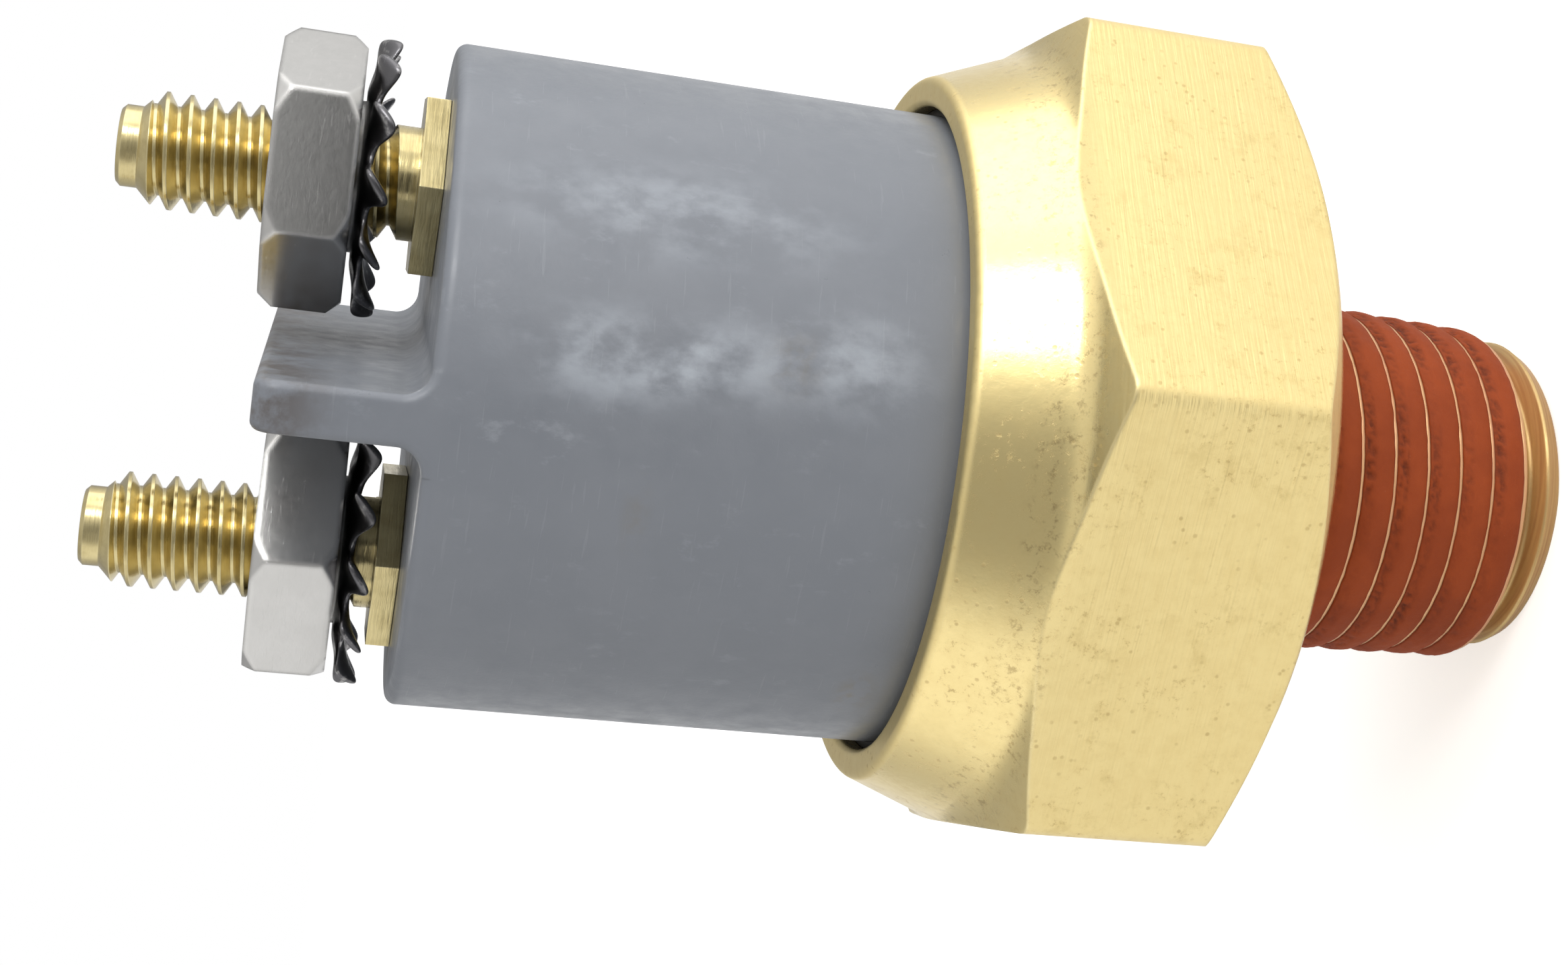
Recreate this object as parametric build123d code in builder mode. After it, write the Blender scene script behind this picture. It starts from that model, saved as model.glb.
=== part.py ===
"""Diaphragm pressure switch: brass pipe-thread base, moulded terminal housing and two screw terminals.

Millimetres, +Z from the pipe thread to the terminals, origin on the axis at the hexagon's underside.
The two terminal studs stand on the X axis and the barrier rib between them runs along Y.
"""
from build123d import *
import math
import os

os.makedirs("parts", exist_ok=True)

INCH = 25.4

# Brass base: 30 mm hexagon bar, turned at both ends
HEX_ACROSS_FLATS = 30.0
HEX_CORNER_RADIUS = 1.0
HEX_CLOCK = -15.0  # a corner's angle from +X: the housing is rolled in at no fixed angle
HEX_FACE_RADIUS = 14.5  # where the underside's chamfer starts
HEX_UNDERSIDE_SLOPE = 30.0
HEX_TOP_SLOPE = 25.0
HEX_TOP_CORNER_Z = 8.5

# Collar rolled over the housing's flange
COLLAR_TOP_Z = 13.1
COLLAR_TOP_RADIUS = 13.6
COLLAR_WALL_SLOPE = 22.0  # of the wall from the axis
COLLAR_EDGE_RADIUS = 0.35
COLLAR_FOOT_RADIUS = 1.6
CUP_RADIUS = 13.0
CUP_FLOOR_Z = 5.0
LIP_RADIUS = 12.55
LIP_UNDERSIDE_Z = 12.2
LIP_UNDERSIDE_FALL = 0.25  # of the lip's underside, outwards to the cup's wall

# 1/4-18 NPT male thread
PIPE_PITCH = INCH / 18
PIPE_TAPER = 1 / 32  # radius per length
PIPE_LENGTH = 13.3
PIPE_END_RADIUS = 6.56  # crest radius at the small end
PIPE_GROOVE_DEPTH = 0.95
PIPE_GROOVE_START = -14.67  # the helix starts below the end, so that the thread runs out through it
PIPE_TURNS = 9.75
PIPE_LEAD = (0.6, 1.2)  # radial and axial size of the lead chamfer
PIPE_RELIEF = (7.3, 0.35)  # radius and depth of the recess round the thread in the hexagon's underside
PORT_RADIUS = 2.5
CHAMBER_RADIUS = 7.0
CHAMBER_DEPTH = 0.9
SEALANT_BULGE = 0.12
SEALANT_FIRST_TURN = 2
SEALANT_TURNS = 7.6

# Moulded housing
HOUSING_RADIUS = 12.2
HOUSING_TOP_Z = 30.65
HOUSING_RIM_RADIUS = 0.4
FLANGE_RADIUS = 12.9
FLANGE_TOP_Z = 11.9
FLANGE_CHAMFER = 0.3
COLLAR_SEAL_RISE = 0.3  # of the collar's seal, up into the gap beside the housing
CAVITY_RADIUS = 10.2
END_WALL = 4.0
RIB_THICKNESS = 1.75
RIB_HEIGHT = 5.45
RIB_ROOT_RADIUS = 0.9
RIB_CORNER_RADIUS = 0.8
RIB_EDGE_RADIUS = 0.3

# 8-32 terminal studs
STUD_SPACING = 13.76
STUD_PITCH = INCH / 32
STUD_RADIUS = 0.164 * INCH / 2
STUD_GROOVE_DEPTH = 0.47
STUD_THREAD_Z = 31.95  # where the thread's first groove starts
STUD_TURNS = 11.2
STUD_SEAM = 137.0  # the outline's angle from +X: its seam stays clear of both ends of the thread
STUD_TIP_Z = 41.75
DOG_RADIUS = 1.45
DOG_LENGTH = 0.7
STUD_LEAD = 0.6
STUD_HEX = INCH / 4
STUD_HEX_HEIGHT = 0.85
SHANK_RADIUS = 1.9
RIVET_RADIUS = 2.3
RIVET_HEIGHT = 0.65
RIVET_ROUNDING = 0.4

# 8-32 nuts with captive external-tooth washers
NUT_ACROSS_FLATS = 11 / 32 * INCH
NUT_HEIGHT = 2.9
NUT_FACE_RADIUS = 4.62  # of the flat end face inside the corner chamfers
NUT_CORNER_LOSS = 0.5  # how far a chamfer runs down a corner
NUT_BORE_RADIUS = STUD_RADIUS + 0.05
NUT_BORE_CHAMFER = 0.3
NUT_HUB_RADIUS = 2.75
NUT_HUB_HEIGHT = 0.45
WASHER_BORE_RADIUS = NUT_HUB_RADIUS + 0.08
WASHER_BODY_RADIUS = 4.0
WASHER_RADIUS = 5.1
WASHER_TEETH = 12
WASHER_SHEET = 0.4
WASHER_DROP = 0.62  # fall of the cone from its bore to its tips
TOOTH_WIDTH = 1.45
TOOTH_TWIST = 24.0

# Sealing stack in the cup
DIAPHRAGM_THICKNESS = 0.25
SUPPORT_HEIGHT = 2.0
SUPPORT_BORE_RADIUS = 7.6
SEAL_GROOVE_INNER = 9.4
SEAL_GROOVE_OUTER = 11.6
SEAL_GROOVE_DEPTH = 1.3
O_RING_WIRE_RADIUS = 0.63
RUNNING_CLEARANCE = 0.05
GAP = 0.02  # between stacked faces that only touch
EDGE_BREAK = 0.15  # chamfer on small turned edges
OVERRUN = 1.0  # how far a cut or a join runs past the face it starts from

# Moving stack and contacts
PLATE_THICKNESS = 1.5
PLATE_HUB_RADIUS = 3.2
PLATE_HUB_HEIGHT = 1.4
SOCKET_DEPTH = 1.2
PLUNGER_RADIUS = 2.0
SHOULDER_Z = 21.2
SHOULDER_RADIUS = 3.0
SHOULDER_HEIGHT = 0.8
PIN_RADIUS = 1.2
PIN_TOP_Z = 24.75
CALIBRATION_Z = 17.5
CALIBRATION_HEIGHT = 2.2
SPANNER_HOLE_RADIUS = 1.1
SPANNER_HOLE_PLACE = 7.4
RANGE_WIRE_RADIUS = 0.55
RANGE_COIL_RADIUS = 5.2
RANGE_TURNS = 6
CONTACT_WIRE_RADIUS = 0.2
CONTACT_COIL_RADIUS = 2.2
CONTACT_TURNS = 3
BRIDGE_Z = 23.0
BRIDGE_LENGTH = 8.6
BRIDGE_WIDTH = 4.2
BRIDGE_THICKNESS = 0.7
CLIP_RADIUS = 1.9
CLIP_THICKNESS = 0.4
TIP_X = 3.2
TIP_RADIUS = 0.9
TIP_HEIGHT = 0.6
CONTACT_GAP = 0.7
STRIP_LENGTH = 7.4
STRIP_WIDTH = 4.6
STRIP_THICKNESS = 0.8
STRIP_INNER_X = 1.95

# Each terminal: its side of the axis, the nut's height as it stands, and how its hexagons are turned
TERMINALS = {
    "left": {"side": -1, "nut_z": 32.85, "nut_turn": 34.0, "stud_turn": 34.0},
    "right": {"side": 1, "nut_z": 33.7, "nut_turn": 7.0, "stud_turn": 33.0},
}

stack_top = CUP_FLOOR_Z + DIAPHRAGM_THICKNESS + SUPPORT_HEIGHT
cavity_top = HOUSING_TOP_Z - END_WALL
strip_bottom = cavity_top - GAP - STRIP_THICKNESS
bridge_top = BRIDGE_Z + BRIDGE_THICKNESS
plate_bottom = CUP_FLOOR_Z + DIAPHRAGM_THICKNESS + GAP
plate_top = plate_bottom + PLATE_THICKNESS
fixed_tip_bottom = bridge_top + TIP_HEIGHT + CONTACT_GAP


def finish(part, name):
    """Labels a finished piece and writes its file."""
    part.label = name
    export_step(part, f"parts/{name}.step")


def upright(x, turned=0.0):
    """The plane through the vertical axis at x, turned about it, with its x outwards and its y up."""
    across = math.cos(math.radians(turned))
    along = math.sin(math.radians(turned))
    return Plane(origin=(x, 0, 0), x_dir=(across, along, 0), z_dir=(along, -across, 0))


def ring(inner, outer, bottom, top, x=0.0):
    """A flat round ring, or a disc where inner is 0."""
    with BuildPart() as body:
        with BuildSketch(Plane.XY.offset(bottom)):
            with Locations((x, 0)):
                Circle(outer)
                if inner:
                    Circle(inner, mode=Mode.SUBTRACT)
        extrude(amount=top - bottom)
    return body.part


def vee(depth, outside, root, mouth):
    """A thread groove's section: outside is how far it stands beyond the crest, widths are half widths."""
    with BuildLine() as outline:
        Polyline((outside, mouth), (-depth, root), (-depth, -root), (outside, -mouth), close=True)
    return outline.line


def helical(section, radius, pitch, turns, bottom, x=0.0, cone_angle=0.0):
    """A closed outline, radial by axial, swept up a right-hand helix about the vertical axis at x."""
    with BuildPart() as strip:
        with BuildLine():
            path = Helix(pitch, pitch * turns, radius, center=(x, 0, bottom), cone_angle=cone_angle)
        with BuildSketch(Plane(origin=path @ 0, x_dir=(1, 0, 0), z_dir=path % 0)):
            with BuildLine():
                add(section)
            make_face()
        sweep(path=path, is_frenet=True)
    return strip.part


def coil_spring(wire_radius, coil_radius, turns, bottom, top):
    """A compression spring between two seats."""
    height = top - bottom - 2 * (wire_radius + GAP)
    with BuildPart() as spring:
        with BuildLine():
            path = Helix(height / turns, height, coil_radius, center=(0, 0, bottom + wire_radius + GAP))
        with BuildSketch(Plane(origin=path @ 0, z_dir=path % 0)):
            Circle(wire_radius)
        sweep(path=path, is_frenet=True)
    return spring.part


# ---- hex_body: hexagon, collar, pipe thread and pressure port ----
chamfer_rise = math.tan(math.radians(HEX_UNDERSIDE_SLOPE))
chamfer_fall = math.tan(math.radians(HEX_TOP_SLOPE))
wall_spread = math.tan(math.radians(COLLAR_WALL_SLOPE))
corner_reach = (HEX_ACROSS_FLATS / 2 - HEX_CORNER_RADIUS) / math.cos(math.pi / 6) + HEX_CORNER_RADIUS
foot_radius = (
    COLLAR_TOP_RADIUS + (COLLAR_TOP_Z - HEX_TOP_CORNER_Z - corner_reach * chamfer_fall) * wall_spread
) / (1 - chamfer_fall * wall_spread)
foot_z = HEX_TOP_CORNER_Z + (corner_reach - foot_radius) * chamfer_fall
outline_radius = corner_reach + 0.5
pipe_shoulder_radius = PIPE_END_RADIUS + PIPE_LENGTH * PIPE_TAPER
pipe_taper_angle = math.degrees(math.atan(PIPE_TAPER))
groove_start_radius = PIPE_END_RADIUS + (PIPE_GROOVE_START + PIPE_LENGTH) * PIPE_TAPER
lead_radial, lead_axial = PIPE_LEAD
relief_radius, relief_depth = PIPE_RELIEF
pipe_groove = helical(
    vee(PIPE_GROOVE_DEPTH, 0.1, 0.05 * PIPE_PITCH, 0.48 * PIPE_PITCH),
    groove_start_radius,
    PIPE_PITCH,
    PIPE_TURNS,
    PIPE_GROOVE_START,
    cone_angle=pipe_taper_angle,
)

with BuildPart() as hex_body:
    with BuildSketch():
        RegularPolygon(HEX_ACROSS_FLATS / 2, 6, major_radius=False, rotation=HEX_CLOCK)
    extrude(amount=COLLAR_TOP_Z)
    fillet(hex_body.edges().filter_by(Axis.Z), HEX_CORNER_RADIUS)
    with BuildSketch(Plane.XZ):
        with BuildLine():
            Polyline(
                (CUP_RADIUS, COLLAR_TOP_Z),
                (0, COLLAR_TOP_Z),
                (0, 0),
                (HEX_FACE_RADIUS, 0),
                (outline_radius, (outline_radius - HEX_FACE_RADIUS) * chamfer_rise),
                (outline_radius, HEX_TOP_CORNER_Z - (outline_radius - corner_reach) * chamfer_fall),
            )
            FilletPolyline(
                (CUP_RADIUS, COLLAR_TOP_Z),
                (COLLAR_TOP_RADIUS, COLLAR_TOP_Z),
                (foot_radius, foot_z),
                (outline_radius, HEX_TOP_CORNER_Z - (outline_radius - corner_reach) * chamfer_fall),
                radius=[COLLAR_EDGE_RADIUS, COLLAR_FOOT_RADIUS],
            )
        make_face()
    revolve(axis=Axis.Z, mode=Mode.INTERSECT)
    with BuildSketch():
        Circle(relief_radius)
    extrude(amount=relief_depth, mode=Mode.SUBTRACT)
    with BuildSketch(Plane.XZ):
        with BuildLine():
            Polyline(
                (0, -PIPE_LENGTH),
                (PIPE_END_RADIUS - lead_radial, -PIPE_LENGTH),
                (PIPE_END_RADIUS + lead_axial * PIPE_TAPER, -PIPE_LENGTH + lead_axial),
                (pipe_shoulder_radius, 0),
                (pipe_shoulder_radius, OVERRUN),
                (0, OVERRUN),
                close=True,
            )
        make_face()
    revolve(axis=Axis.Z)
    add(pipe_groove, mode=Mode.SUBTRACT)
    with BuildSketch(Plane.XZ):
        with BuildLine():
            Polyline(
                (0, -PIPE_LENGTH - OVERRUN),
                (PORT_RADIUS, -PIPE_LENGTH - OVERRUN),
                (PORT_RADIUS, CUP_FLOOR_Z - CHAMBER_DEPTH),
                (CHAMBER_RADIUS, CUP_FLOOR_Z - CHAMBER_DEPTH),
                (CHAMBER_RADIUS, CUP_FLOOR_Z),
                (SEAL_GROOVE_INNER, CUP_FLOOR_Z),
                (SEAL_GROOVE_INNER, CUP_FLOOR_Z - SEAL_GROOVE_DEPTH),
                (SEAL_GROOVE_OUTER, CUP_FLOOR_Z - SEAL_GROOVE_DEPTH),
                (SEAL_GROOVE_OUTER, CUP_FLOOR_Z),
                (CUP_RADIUS, CUP_FLOOR_Z),
                (CUP_RADIUS, LIP_UNDERSIDE_Z - LIP_UNDERSIDE_FALL),
                (LIP_RADIUS, LIP_UNDERSIDE_Z),
                (LIP_RADIUS, COLLAR_TOP_Z - EDGE_BREAK),
                (LIP_RADIUS + EDGE_BREAK, COLLAR_TOP_Z),
                (LIP_RADIUS + EDGE_BREAK, COLLAR_TOP_Z + OVERRUN),
                (0, COLLAR_TOP_Z + OVERRUN),
                close=True,
            )
        make_face()
    revolve(axis=Axis.Z, mode=Mode.SUBTRACT)
finish(hex_body.part, "hex_body")

# ---- thread_sealant: dried paste that fills the thread's valleys and stands a little proud ----
sealant_z = PIPE_GROOVE_START + SEALANT_FIRST_TURN * PIPE_PITCH
sealant_mouth = 0.41 * PIPE_PITCH
sealant_root = 0.03 * PIPE_PITCH
sealant_depth = PIPE_GROOVE_DEPTH - 0.03
with BuildLine() as sealant_section:
    Polyline(
        (0, sealant_mouth),
        (-sealant_depth, sealant_root),
        (-sealant_depth, -sealant_root),
        (0, -sealant_mouth),
    )
    ThreePointArc((0, -sealant_mouth), (SEALANT_BULGE, 0), (0, sealant_mouth))
finish(
    helical(
        sealant_section.line,
        PIPE_END_RADIUS + (sealant_z + PIPE_LENGTH) * PIPE_TAPER,
        PIPE_PITCH,
        SEALANT_TURNS,
        sealant_z,
        cone_angle=pipe_taper_angle,
    ),
    "thread_sealant",
)

# ---- switch_housing: flanged cup with a barrier rib between the terminals ----
rib_half = RIB_THICKNESS / 2
rib_top = HOUSING_TOP_Z + RIB_HEIGHT
with BuildPart() as rib:
    with BuildSketch(Plane.XZ):
        with BuildLine():
            Polyline(
                (0, HOUSING_TOP_Z - OVERRUN),
                (rib_half + RIB_ROOT_RADIUS, HOUSING_TOP_Z - OVERRUN),
                (rib_half + RIB_ROOT_RADIUS, HOUSING_TOP_Z),
            )
            RadiusArc(
                (rib_half + RIB_ROOT_RADIUS, HOUSING_TOP_Z),
                (rib_half, HOUSING_TOP_Z + RIB_ROOT_RADIUS),
                RIB_ROOT_RADIUS,
            )
            Polyline((rib_half, HOUSING_TOP_Z + RIB_ROOT_RADIUS), (rib_half, rib_top), (0, rib_top))
            mirror(about=Plane.YZ)
        make_face()
    extrude(amount=HOUSING_RADIUS, both=True)
    with BuildSketch():
        Circle(HOUSING_RADIUS)
    extrude(amount=rib_top, mode=Mode.INTERSECT)
    fillet(rib.edges().group_by(Axis.Z)[-1].filter_by(Axis.Y, reverse=True), RIB_CORNER_RADIUS)
    fillet(rib.edges().group_by(Axis.Z)[-1].filter_by(Axis.Y), RIB_EDGE_RADIUS)

with BuildPart() as switch_housing:
    with BuildSketch(Plane.XZ):
        with BuildLine():
            Polyline(
                (HOUSING_RADIUS - HOUSING_RIM_RADIUS, HOUSING_TOP_Z),
                (0, HOUSING_TOP_Z),
                (0, cavity_top),
                (CAVITY_RADIUS, cavity_top),
                (CAVITY_RADIUS, stack_top + GAP),
                (FLANGE_RADIUS, stack_top + GAP),
                (FLANGE_RADIUS, FLANGE_TOP_Z - FLANGE_CHAMFER),
                (FLANGE_RADIUS - FLANGE_CHAMFER, FLANGE_TOP_Z),
                (HOUSING_RADIUS, FLANGE_TOP_Z),
                (HOUSING_RADIUS, HOUSING_TOP_Z - HOUSING_RIM_RADIUS),
            )
            RadiusArc(
                (HOUSING_RADIUS, HOUSING_TOP_Z - HOUSING_RIM_RADIUS),
                (HOUSING_RADIUS - HOUSING_RIM_RADIUS, HOUSING_TOP_Z),
                -HOUSING_RIM_RADIUS,
            )
        make_face()
    revolve(axis=Axis.Z)
    add(rib.part)
    with Locations(*[(t["side"] * STUD_SPACING / 2, 0, HOUSING_TOP_Z) for t in TERMINALS.values()]):
        Hole(SHANK_RADIUS + GAP, END_WALL + OVERRUN)
finish(switch_housing.part, "switch_housing")

# ---- collar_seal: black ring under the rolled lip, squeezed up into the gap beside the housing ----
with BuildPart() as collar_seal:
    with BuildSketch(Plane.XZ):
        with BuildLine():
            Polyline(
                (HOUSING_RADIUS + GAP, FLANGE_TOP_Z + GAP),
                (FLANGE_RADIUS - FLANGE_CHAMFER, FLANGE_TOP_Z + GAP),
                (LIP_RADIUS - GAP, LIP_UNDERSIDE_Z - GAP),
                (LIP_RADIUS - GAP, LIP_UNDERSIDE_Z + COLLAR_SEAL_RISE / 2),
                (HOUSING_RADIUS + GAP, LIP_UNDERSIDE_Z + COLLAR_SEAL_RISE),
                close=True,
            )
        make_face()
    revolve(axis=Axis.Z)
finish(collar_seal.part, "collar_seal")

# ---- sealing stack: O-ring, diaphragm and the ring that clamps them ----
groove_middle = (SEAL_GROOVE_INNER + SEAL_GROOVE_OUTER) / 2
with BuildPart() as base_o_ring:
    with BuildSketch(Plane.XZ):
        with Locations((groove_middle, CUP_FLOOR_Z - SEAL_GROOVE_DEPTH / 2)):
            Circle(O_RING_WIRE_RADIUS)
    revolve(axis=Axis.Z)
finish(base_o_ring.part, "base_o_ring")

clamp_radius = CUP_RADIUS - 2 * RUNNING_CLEARANCE
finish(ring(0, clamp_radius, CUP_FLOOR_Z, CUP_FLOOR_Z + DIAPHRAGM_THICKNESS), "diaphragm")

with BuildPart() as support_ring:
    add(ring(SUPPORT_BORE_RADIUS, clamp_radius, stack_top - SUPPORT_HEIGHT, stack_top))
    chamfer(support_ring.edges().filter_by(GeomType.CIRCLE).group_by(Axis.Z)[-1], EDGE_BREAK)
finish(support_ring.part, "support_ring")

# ---- moving stack: pressure plate, plunger and contact bridge ----
hub_top = plate_top + PLATE_HUB_HEIGHT
socket_floor = hub_top - SOCKET_DEPTH
with BuildPart() as pressure_plate:
    with BuildSketch(Plane.XZ):
        with BuildLine():
            Polyline(
                (0, plate_bottom),
                (SUPPORT_BORE_RADIUS - RUNNING_CLEARANCE, plate_bottom),
                (SUPPORT_BORE_RADIUS - RUNNING_CLEARANCE, plate_top),
                (PLATE_HUB_RADIUS, plate_top),
                (PLATE_HUB_RADIUS, hub_top),
                (PLUNGER_RADIUS + GAP, hub_top),
                (PLUNGER_RADIUS + GAP, socket_floor),
                (0, socket_floor),
                close=True,
            )
        make_face()
    revolve(axis=Axis.Z)
finish(pressure_plate.part, "pressure_plate")

with BuildPart() as plunger:
    with BuildSketch(Plane.XZ):
        with BuildLine():
            Polyline(
                (0, socket_floor + GAP),
                (PLUNGER_RADIUS, socket_floor + GAP),
                (PLUNGER_RADIUS, SHOULDER_Z - SHOULDER_HEIGHT),
                (SHOULDER_RADIUS, SHOULDER_Z - SHOULDER_HEIGHT),
                (SHOULDER_RADIUS, SHOULDER_Z),
                (PIN_RADIUS, SHOULDER_Z),
                (PIN_RADIUS, PIN_TOP_Z - EDGE_BREAK),
                (PIN_RADIUS - EDGE_BREAK, PIN_TOP_Z),
                (0, PIN_TOP_Z),
                close=True,
            )
        make_face()
    revolve(axis=Axis.Z)
finish(plunger.part, "plunger")

with BuildPart() as contact_bridge:
    with BuildSketch(Plane.XY.offset(BRIDGE_Z)):
        SlotOverall(BRIDGE_LENGTH, BRIDGE_WIDTH)
        Circle(PIN_RADIUS + RUNNING_CLEARANCE, mode=Mode.SUBTRACT)
    extrude(amount=BRIDGE_THICKNESS)
finish(contact_bridge.part, "contact_bridge")

with BuildPart() as bridge_tips:
    with BuildSketch(Plane.XY.offset(bridge_top)):
        with Locations((-TIP_X, 0), (TIP_X, 0)):
            Circle(TIP_RADIUS)
    extrude(amount=TIP_HEIGHT)
    chamfer(bridge_tips.edges().filter_by(GeomType.CIRCLE).group_by(Axis.Z)[-1], EDGE_BREAK)
finish(bridge_tips.part, "bridge_tips")

clip_bottom = bridge_top + GAP
finish(ring(PIN_RADIUS, CLIP_RADIUS, clip_bottom, clip_bottom + CLIP_THICKNESS), "bridge_clip")
finish(
    coil_spring(CONTACT_WIRE_RADIUS, CONTACT_COIL_RADIUS, CONTACT_TURNS, SHOULDER_Z, BRIDGE_Z),
    "contact_spring",
)

# ---- range spring and the screwed ring that loads it ----
calibration_top = CALIBRATION_Z + CALIBRATION_HEIGHT
with BuildPart() as calibration_ring:
    add(ring(PLUNGER_RADIUS + RUNNING_CLEARANCE, CAVITY_RADIUS - GAP, CALIBRATION_Z, calibration_top))
    chamfer(calibration_ring.edges().filter_by(GeomType.CIRCLE).sort_by(SortBy.RADIUS)[-2:], 2 * EDGE_BREAK)
    with Locations(*[(side * SPANNER_HOLE_PLACE, 0, calibration_top) for side in (-1, 1)]):
        Hole(SPANNER_HOLE_RADIUS, CALIBRATION_HEIGHT + OVERRUN)
finish(calibration_ring.part, "calibration_ring")
finish(
    coil_spring(RANGE_WIRE_RADIUS, RANGE_COIL_RADIUS, RANGE_TURNS, plate_top, CALIBRATION_Z),
    "range_spring",
)


# ---- terminals: stud, fixed contact strip, nut and captive washer, one set each side ----
def terminal_stud(x, turn):
    """A brass stud: hexagon base, 8-32 thread with a dog point above it, plain riveted shank below."""
    lead_z = STUD_TIP_Z - DOG_LENGTH
    groove = helical(
        vee(STUD_GROOVE_DEPTH, 0.05, 0.07 * STUD_PITCH, 0.46 * STUD_PITCH),
        STUD_RADIUS,
        STUD_PITCH,
        STUD_TURNS,
        STUD_THREAD_Z,
        x,
    )
    with BuildPart() as stud:
        with BuildSketch(upright(x, STUD_SEAM)):
            with BuildLine():
                Polyline(
                    (0, strip_bottom - RIVET_HEIGHT),
                    (RIVET_RADIUS - RIVET_ROUNDING, strip_bottom - RIVET_HEIGHT),
                    (RIVET_RADIUS, strip_bottom - RIVET_HEIGHT + RIVET_ROUNDING),
                    (RIVET_RADIUS, strip_bottom),
                    (SHANK_RADIUS, strip_bottom),
                    (SHANK_RADIUS, HOUSING_TOP_Z + STUD_HEX_HEIGHT / 2),
                    (STUD_RADIUS, HOUSING_TOP_Z + STUD_HEX_HEIGHT / 2),
                    (STUD_RADIUS, lead_z - STUD_LEAD),
                    (DOG_RADIUS, lead_z),
                    (DOG_RADIUS, STUD_TIP_Z - EDGE_BREAK),
                    (DOG_RADIUS - EDGE_BREAK, STUD_TIP_Z),
                    (0, STUD_TIP_Z),
                    close=True,
                )
            make_face()
        revolve(axis=Axis((x, 0, 0), (0, 0, 1)))
        with BuildSketch(Plane.XY.offset(HOUSING_TOP_Z + GAP)):
            with Locations((x, 0)):
                RegularPolygon(STUD_HEX / 2, 6, major_radius=False, rotation=turn)
        extrude(amount=STUD_HEX_HEIGHT)
        add(groove, mode=Mode.SUBTRACT)
    return stud.part


def contact_strip(side):
    """A brass strip held under the stud's rivet, reaching in towards the axis."""
    middle = side * (STRIP_INNER_X + STRIP_LENGTH / 2)
    with BuildPart() as strip:
        with BuildSketch(Plane.XY.offset(strip_bottom)):
            with Locations((middle, 0)):
                RectangleRounded(STRIP_LENGTH, STRIP_WIDTH, STRIP_THICKNESS)
            with Locations((side * STUD_SPACING / 2, 0)):
                Circle(SHANK_RADIUS + GAP, mode=Mode.SUBTRACT)
        extrude(amount=STRIP_THICKNESS)
    return strip.part


def hexagon_nut(x, bottom, turn):
    """A nut chamfered at both ends, with the swaged hub that carries its washer."""
    corner = NUT_ACROSS_FLATS / math.sqrt(3)
    top = bottom + NUT_HEIGHT
    with BuildPart() as nut:
        with BuildSketch(Plane.XY.offset(bottom)):
            with Locations((x, 0)):
                RegularPolygon(NUT_ACROSS_FLATS / 2, 6, major_radius=False, rotation=turn)
        extrude(amount=NUT_HEIGHT)
        with BuildSketch(upright(x)):
            with BuildLine():
                Polyline(
                    (0, bottom),
                    (NUT_FACE_RADIUS, bottom),
                    (corner, bottom + NUT_CORNER_LOSS),
                    (corner, top - NUT_CORNER_LOSS),
                    (NUT_FACE_RADIUS, top),
                    (0, top),
                    close=True,
                )
            make_face()
        revolve(axis=Axis((x, 0, 0), (0, 0, 1)), mode=Mode.INTERSECT)
        with BuildSketch(Plane.XY.offset(bottom - NUT_HUB_HEIGHT)):
            with Locations((x, 0)):
                Circle(NUT_HUB_RADIUS)
        extrude(amount=NUT_HUB_HEIGHT)
        with Locations((x, 0, top)):
            CounterSinkHole(NUT_BORE_RADIUS, NUT_BORE_RADIUS + NUT_BORE_CHAMFER, NUT_HEIGHT + NUT_HUB_HEIGHT)
    return nut.part


def toothed_washer(x, top):
    """A conical external-tooth lock washer, falling outwards, with every tooth twisted out of the cone."""
    cone_fall = WASHER_DROP / (WASHER_RADIUS - WASHER_BORE_RADIUS)
    body_fall = (WASHER_BODY_RADIUS - WASHER_BORE_RADIUS) * cone_fall
    tooth_root = WASHER_BODY_RADIUS - 0.25
    tooth_length = WASHER_RADIUS - tooth_root
    slope = math.degrees(math.atan(cone_fall))
    root_z = top - WASHER_SHEET / 2 - (tooth_root - WASHER_BORE_RADIUS) * cone_fall
    outwards = Plane(origin=(tooth_root, 0, root_z), x_dir=(0, 1, 0), z_dir=(1, 0, -cone_fall))
    with BuildPart() as tooth:
        with BuildSketch(outwards):
            Rectangle(TOOTH_WIDTH, WASHER_SHEET)
        with BuildSketch(outwards.offset(tooth_length)):
            Rectangle(TOOTH_WIDTH, WASHER_SHEET, rotation=TOOTH_TWIST)
        loft()
    with BuildPart() as washer:
        with BuildSketch(Plane.XZ):
            with BuildLine():
                Polyline(
                    (WASHER_BORE_RADIUS, top - WASHER_SHEET),
                    (WASHER_BODY_RADIUS, top - WASHER_SHEET - body_fall),
                    (WASHER_BODY_RADIUS, top - body_fall),
                    (WASHER_BORE_RADIUS, top),
                    close=True,
                )
            make_face()
        revolve(axis=Axis.Z)
        with PolarLocations(0, WASHER_TEETH):
            add(tooth.part)
    with BuildPart() as placed:
        with Locations((x, 0, 0)):
            add(washer.part)
    return placed.part


for name, terminal in TERMINALS.items():
    place = terminal["side"] * STUD_SPACING / 2
    finish(terminal_stud(place, terminal["stud_turn"]), f"terminal_stud_{name}")
    finish(contact_strip(terminal["side"]), f"fixed_contact_{name}")
    finish(hexagon_nut(place, terminal["nut_z"], terminal["nut_turn"]), f"terminal_nut_{name}")
    finish(toothed_washer(place, terminal["nut_z"] - GAP), f"tooth_washer_{name}")

with BuildPart() as fixed_tips:
    with BuildSketch(Plane.XY.offset(fixed_tip_bottom)):
        with Locations((-TIP_X, 0), (TIP_X, 0)):
            Circle(TIP_RADIUS)
    extrude(amount=strip_bottom - fixed_tip_bottom)
    chamfer(fixed_tips.edges().filter_by(GeomType.CIRCLE).group_by(Axis.Z)[0], EDGE_BREAK)
finish(fixed_tips.part, "fixed_tips")
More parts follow.
